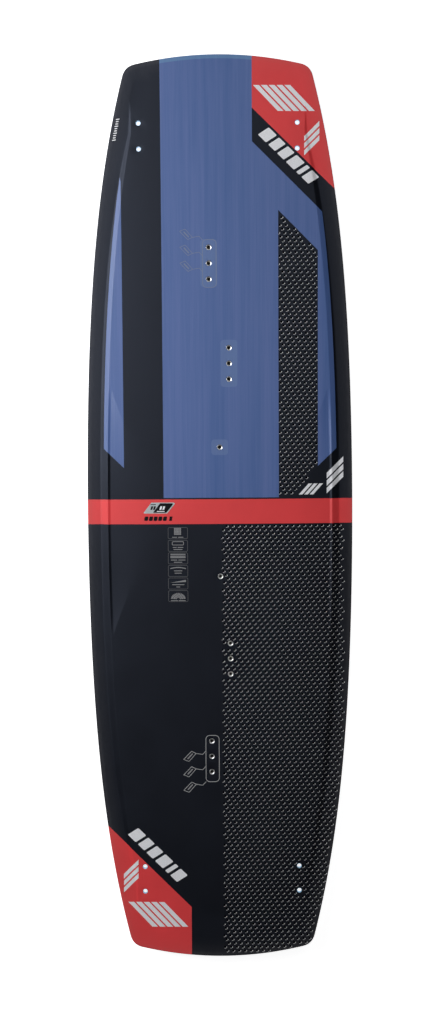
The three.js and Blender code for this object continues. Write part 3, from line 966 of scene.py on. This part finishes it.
def over_fold(loop):
    """Whether a shape reaches over the bevel or the scoop's wall."""
    inset = half_width(loop[:, 1]) - np.abs(loop[:, 0])
    return ((inset > 14) & (inset < 44)).any()


def fold_points(loop, holes):
    """Points along the deck's creases inside a shape, so that what is printed bends with the deck."""
    ys = np.arange(loop[:, 1].min() + 0.8, loop[:, 1].max(), 2.5)
    insets = np.array([crease_offsets(y) + wall_offsets(y) for y in ys])
    x = half_width(ys)[:, None] - insets
    points = np.column_stack([np.hstack([x, -x]).ravel(), np.repeat(ys, 2 * x.shape[1])])
    points = points[inside(points, loop)]
    return points[(segment_distance(points, loop) > 0.35) & clear_of(points, holes, 0.35)]


def on_top_skin(obj):
    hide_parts("top_skin")


def printed(name, shapes, material, level=INK, margin=1.2):
    """Several shapes in one ink, each a loop or a list of an outer loop and inner ones."""
    parts = []
    for shape in shapes:
        loops = shape if isinstance(shape, list) else [shape]
        holes, points = near_holes(loops[0], margin), ()
        if over_fold(loops[0]):
            loops = [closed(*map(tuple, loop), step=1.2) for loop in loops]
            points = fold_points(loops[0], holes)
        parts.append(plate(loops, on_deck(level), on_deck(-SUNK), holes, points))
    on_top_skin(join_plates(name, parts, [material]))


def ring(x, y, width, height, radius, thickness):
    inner = rounded_box(x, y, width - 2 * thickness, height - 2 * thickness, radius - thickness, 6)
    return [rounded_box(x, y, width, height, radius, 6), inner]


def repeated(name, shape, spots, material, level, sides):
    """The same thin flat body printed at every spot, squeezed in between two straight sides at x.

    The shape's second half runs back along its first.
    """
    n, half = len(shape), len(shape) // 2
    x = (spots[:, 0, None] + shape[:, 0]).ravel()
    y = (spots[:, 1, None] + shape[:, 1]).ravel()
    clipped_x = np.clip(x, *sides)
    x = clipped_x + (x - clipped_x) * 0.03
    z = deck_body(x, y)
    verts = np.vstack([np.column_stack([x, y, z + level]), np.column_stack([x, y, z - SUNK])])
    top = [[k, k + 1, n - 2 - k, n - 1 - k] for k in range(half - 1)]
    below = len(x)
    body = top + [[k + below for k in quad[::-1]] for quad in top]
    body += [[k, k + below, (k + 1) % n + below, (k + 1) % n] for k in range(n)]
    faces = [[s * n + k for k in quad] for s in range(len(spots)) for quad in body]
    on_top_skin(make_object(name, verts, faces, [material], smooth=False))


def painted_glint():
    """A painted highlight, the light that a pock's rim catches: an arc from below it round to its right,
    where it is thickest.
    """
    a = np.radians([-114, -102, -89, -74, -54, -34, -18, -4, 8])
    middle = np.array([2.35, 2.3, 2.2, 2.25, 2.45, 2.4, 2.3, 2.25, 2.25])
    thick = np.array([0.3, 0.6, 0.65, 0.35, 0.12, 0.5, 1.25, 1.05, 0.35])
    arc = lambda r: np.column_stack([r * np.cos(a), r * np.sin(a)])
    return np.vstack([arc(middle + thick / 2), arc(middle - thick / 2)[::-1]])


POCKS_ACROSS, POCKS_ALONG, POCKS_SET_OVER = 9.22, 5.84, 3.4


def pocks(name, keep, x0, y0, sides):
    """The grip pattern, drawn flat: rows of little pocks about (x0, y0), each row set over by a part of the
    spacing. Each pock is a dark disc of painted shade for its pit and a pale arc of painted highlight for its
    rim.
    """
    rows, columns = np.mgrid[-70:110, -12:20]
    x = x0 + columns * POCKS_ACROSS + rows * POCKS_SET_OVER % POCKS_ACROSS
    spots = np.column_stack([x.ravel(), (y0 - rows * POCKS_ALONG).ravel()])
    spots = spots[keep(spots)] + [-1.1, 0.3]
    # The dark discs are painted shade where each pock's pit would lie in shadow.
    repeated(name + "_painted_pit_shade", circle(0, 0, 1.75, 6), spots, PIT_SHADE_INK, INK * 0.7, sides)
    # The pale arcs are painted highlights where each pock's rim would catch the light.
    repeated(name + "_painted_glints", painted_glint(), spots, PALE_INK_AND_HIGHLIGHT, INK, sides)


def within(spots, loop):
    """Spots whose whole pock lies inside a loop."""
    reach = ([2.0, 0.25], [1.1, -1.35], [-1.7, -2.35], [-1.0, 2.35])
    return np.all([inside(spots + r, loop) for r in reach], axis=0)


printable = outline(1.1)
panel = closed((86, 22.6), (86, 464.6), (91, 459.9), (154.8, 395.9), (154.8, 75.6), (114.3, 22.6))


def in_lower_field(s):
    return (s[:, 0] > 2.2) & (s[:, 1] < BAND_LOW - 2.2) & within(s, printable) & clear_of(s, DECK_HOLES, 2.8)


def in_panel(s):
    return within(s, panel) & (s[:, 0] > 91.5)


pocks("pocks_lower", in_lower_field, 7.46, -63.0, (1.7, HALF_WIDTH))
pocks("pocks_panel", in_panel, 94.2, 390.9, (91.3, 150.8))


def hatch(x, y, count, width, gap, height, quarter_turns=0, slope=-0.98):
    """A row of slanting bars with level ends about (x, y). slope is their run to the right for each mm up."""
    lean = height * slope / 2
    shapes = []
    for i in range(count):
        left = (i - (count - 1) / 2) * (width + gap) - width / 2
        right, top = left + width, height / 2
        loop = closed((left - lean, -top), (right - lean, -top), (right + lean, top), (left + lean, top))
        shapes.append(turned(loop, x, y, 90 * quarter_turns))
    return shapes


def word_blocks(x, y, widths, height, gap, degrees, lean=0.25):
    """A row of plain slanted blocks along a line about (x, y)."""
    total = sum(widths) + gap * (len(widths) - 1)
    a = math.radians(degrees)
    at = -total / 2
    shapes = []
    for w in widths:
        mid = at + w / 2
        px, py = x + mid * math.cos(a), y + mid * math.sin(a)
        shapes.append(bar(px, py, w, height, degrees, min(1.6, w / 4), height * lean))
        at += w + gap
    return shapes


TIP_BARS, SIDE_BARS = (5, 8.8, 3, 38), (3, 7.5, 3, 23, 1)
BAND_BARS, LOW_BARS = (3, 8.6, 3, 26, 1), (3, 5.8, 2.6, 17, 0, 0.9)
BLOCK_WIDTHS, BLOCK_HEIGHT, BLOCK_GAP = [17, 14, 14, 17, 6.5, 15], 19, 4.5
for end, sign in ENDS:
    bars = hatch(sign * 100, sign * 626, *TIP_BARS) + hatch(sign * 142, sign * 567, *SIDE_BARS)
    printed("marks_tip_" + end, bars, WHITE_INK)
printed("marks_band", hatch(178, 56, *BAND_BARS) + hatch(140.5, 34.5, *LOW_BARS), WHITE_INK)
for end, x, y in (("a", 107, 541), ("b", -100.5, -534)):
    blocks = word_blocks(x, y, BLOCK_WIDTHS, BLOCK_HEIGHT, BLOCK_GAP, DIAGONAL)
    printed("blocks_tip_" + end, blocks, WHITE_INK)

edge_ticks = [
    bar(7.6 - float(half_width(y)), y, 4.2 if i % 3 else 5.6, 1.5, 8.0, 0.3)
    for i, y in enumerate(np.arange(566, 598, 3.4))
]
printed("edge_ticks", edge_ticks, PALE_INK_AND_HIGHLIGHT)

ICON_X, ICON_WIDTH, ICON_HEIGHT = -65.6, 30.6, 17.9
ICON_YS = [-32.5, -52.3, -71.7, -91.3, -110.8, -130.5]
printed("icon_frames", [ring(ICON_X, y, ICON_WIDTH, ICON_HEIGHT, 2.4, 0.6) for y in ICON_YS], DIM_INK)


def arc_band(x, y, width, sag, thickness, count=14):
    t = np.linspace(-1, 1, count)
    top = np.column_stack([x + t * width / 2, y - sag * t**2])
    return np.vstack([top, (top - [0, thickness])[::-1]])[::-1]


def fan(x, y, rows):
    """Short rays in rings round a point. rows gives each ring's count, radii and thickness."""
    shapes = []
    for count, inner, outer, thick in rows:
        for a in np.linspace(10, 170, count):
            mid = (inner + outer) / 2
            cx, cy = x + mid * math.cos(math.radians(a)), y + mid * math.sin(math.radians(a)) * 0.82
            shapes.append(bar(cx, cy, outer - inner, thick, a, 0.25))
    return shapes


weave = [
    bar(ICON_X - 0.4 + i * 2.2, ICON_YS[0] + 2.7 + j * 2.2, 1.9, 1.9, 0, 0.3)
    for i in range(-2, 3)
    for j in range(-2, 3)
]
section = [ring(ICON_X, ICON_YS[1] + 4.0, 18.5, 6.2, 2.0, 1.0)]
layers = [bar(ICON_X, ICON_YS[2] + dy, 23.5, 1.5) for dy in (6.3, 3.4, 1.2)]
bend = [arc_band(ICON_X, ICON_YS[3] + 6.2, 24, 1.8, 1.5)]
wedge = [closed(*((ICON_X + dx, ICON_YS[4] + dy) for dx, dy in ((-12, 1.2), (12, 2.4), (12, 5.6))))]
rays = fan(ICON_X, ICON_YS[5] - 4.6, [(7, 2.6, 4.8, 1.1), (10, 5.3, 8.0, 1.4), (13, 8.5, 11.4, 1.6)])
printed("icon_pictograms", weave + section + layers + bend + wedge + rays, GREY_INK)
captions = [  # which frame, the place in it, and the width
    (0, -5, -6.4, 7.5), (0, 4.5, -6.4, 8), (1, -5, -2.4, 6), (1, 4, -2.4, 9), (1, 0, -5.6, 14),
    (2, -6, -2.6, 10), (2, 6, -2.6, 11), (2, 0, -6.0, 13), (3, 0, 0.2, 13), (3, 0, -3.4, 11),
    (4, 0, -1.8, 19), (4, 0, -5.4, 6), (5, -6, -7.0, 11), (5, 6, -7.0, 11),
]
printed("icon_captions", [bar(ICON_X + dx, ICON_YS[i] + dy, w, 1.15) for i, dx, dy, w in captions], GREY_INK)

STANCE_X, STANCE_Y = -14.0, 382.2


def stance_marks(name, sign, line_ink, dash_ink):
    """The outline printed round an outer group of inserts, with a leader and a flag for each insert."""
    shapes = [ring(STANCE_X, sign * STANCE_Y - 1.8, 21.5, 73, 6.5, 0.9)]
    flags = []
    for row in (-357, -381, -405):
        # A leader's point, measured from beside its insert. At end a it is mirrored, 4 mm nearer the middle.
        mirrored = lambda y: y if sign < 0 else -y - 4.0
        at = lambda dx, dy: (STANCE_X + dx, mirrored(row + 1 + dy))
        tip, left, low, right = at(-32.7, -16.6), at(-45, -29.2), at(-36.8, -32.5), at(-25.6, -19.9)
        shapes += stroke(0.8, tip, left, low, right, tip)
        shapes += stroke(0.8, right, at(-15.6, -21.5), at(-10.4, -16.2))
        flags += stroke(1.9, at(-38.4, -28.0), at(-31.6, -20.8))
    printed(name + "_lines", shapes, line_ink)
    printed(name + "_dashes", flags, dash_ink)


stance_marks("stance_b", -1, STANCE_INK, GREY_INK)
stance_marks("stance_a", 1, FAINT_INK, FAINT_INK)
block_shapes = [rounded_box(x, y, 26, count * INSERT_PITCH, 5) for _, x, y, count in INSERT_GROUPS]
printed("blocks_showing_through", block_shapes, BLUE_OVER_BLOCK, 0.04, margin=0.05)

# ---- Size label ----

LABEL_X, LABEL_Y = -94.0, 6.5
LABEL_LEAN = 6.2 / 17


def label_loop(left, right, height, corner):
    """A slanting shape, level above and below, with two corners cut. left and right are from the middle."""
    lean = LABEL_LEAN * height
    top, low = LABEL_Y + height / 2, LABEL_Y - height / 2
    low_left, top_right = LABEL_X + left - lean, LABEL_X + right + lean
    return closed(
        (low_left, low + corner * 0.4),
        (low_left + corner * 0.3, low),
        (LABEL_X + right - lean, low),
        (top_right, top - corner * 0.6),
        (top_right - corner * 0.6, top),
        (LABEL_X + left + lean, top),
    )


LABEL_MATERIALS = [FOIL, BLACK_INK, WHITE_INK]
label_marks = [  # the place on the label, the size, and the material's number
    (-11.5, 0, 3.0, 5.6, 1), (-7.3, 0, 3.0, 5.6, 1), (-9.2, 5.4, 8, 1.2, 1),
    (2.5, 0, 3.0, 5.6, 2), (7.0, 0, 3.0, 5.6, 2), (2.2, -5.2, 12, 1.2, 2),
]
label_shapes = [(label_loop(-18.2, 18.2, 17, 3), 0.3, 0.02, 0)]
label_shapes.append((label_loop(-4.0, 16.2, 14.6, 2), 0.34, 0.25, 1))
for dx, dy, width, height, k in label_marks:
    shape = bar(LABEL_X + dx, LABEL_Y + dy, width, height, 0, 0.4, height * 0.3)
    label_shapes.append((shape, 0.38, 0.25, k))
label_parts = [plate([shape], on_deck(top), on_deck(bottom)) for shape, top, bottom, _ in label_shapes]
label = join_plates("size_label_foil", label_parts, LABEL_MATERIALS, [k for *_, k in label_shapes])
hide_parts("size_label")
name_blocks = word_blocks(-99.7, -10.0, [5.9] * 5, 6.8, 1.3, 0, 0.18)
printed("name_blocks", name_blocks + [bar(-76.3, -10.0, 4.4, 6.8, 0, 0.4, 1.2)], BLACK_INK)

# ---- The core's own pieces ----

INSIDE = (
    ("core_strip", wood("paulownia")),
    ("carbon_ribbon", carbon("carbon_tape")),
    ("insert_block", BLOCK_PLASTIC),
)
for node_name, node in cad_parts.items():
    for start, material in INSIDE:
        if node_name.startswith(start):
            node.data.materials.clear()
            node.data.materials.append(material)

# ---- Stage, light and camera ----

FLOOR_SIZE, FLOOR_GAP = 240, 0.0006
FLOOR_GLOW = 0.9
WORLD_LIGHT = 0.036
PURE_WHITE = (1.0, 1.0, 1.0, 1.0)

bpy.ops.mesh.primitive_plane_add(size=FLOOR_SIZE, location=(0, 0, -FLOOR_GAP))
floor = bpy.context.object
floor.name = "floor"
paper = Nodes("paper", Roughness=0.9, Base_Color=(0.9, 0.9, 0.9, 1.0), Emission_Color=PURE_WHITE)
paper.shader.inputs["Emission Strength"].default_value = FLOOR_GLOW
floor.data.materials.append(paper.material)


def softbox(name, location, width, length, power):
    """A rectangular light that faces the middle of the board."""
    light = bpy.data.lights.new(name, "AREA")
    light.shape = "RECTANGLE"
    light.size, light.size_y, light.energy = width, length, power
    obj = new_object(name, light)
    obj.location = location
    obj.rotation_euler = (-Vector(location)).to_track_quat("-Z", "Y").to_euler()


softbox("softbox_left", location=(-0.973, 0.404, 1.095), width=0.9, length=1.1, power=20.4)
softbox("softbox_over", location=(0.533, 0.903, 2.771), width=0.8, length=2.9, power=8.9)

world = bpy.data.worlds.new("studio")
bpy.context.scene.world = world
world.use_nodes = True
background = world.node_tree.nodes["Background"]
background.inputs["Color"].default_value = PURE_WHITE
background.inputs["Strength"].default_value = WORLD_LIGHT

DISTANCE, TILT, ROLL = 2.7606, math.radians(4.261), math.radians(0.354)
LENS, SENSOR, SHIFT_X, SHIFT_Y = 62.5, 36.0, 0.00137, -0.00074
camera = new_object("camera", bpy.data.cameras.new("camera"))
camera.data.lens = LENS
camera.data.sensor_fit = "VERTICAL"
camera.data.sensor_height = SENSOR
camera.data.shift_x, camera.data.shift_y = SHIFT_X, SHIFT_Y
camera.location = (0, DISTANCE * math.sin(TILT), DISTANCE * math.cos(TILT))
camera.rotation_euler = (Matrix.Rotation(-TILT, 3, "X") @ Matrix.Rotation(-ROLL, 3, "Z")).to_euler()
bpy.context.scene.camera = camera
bpy.context.scene.view_settings.view_transform = "Standard"
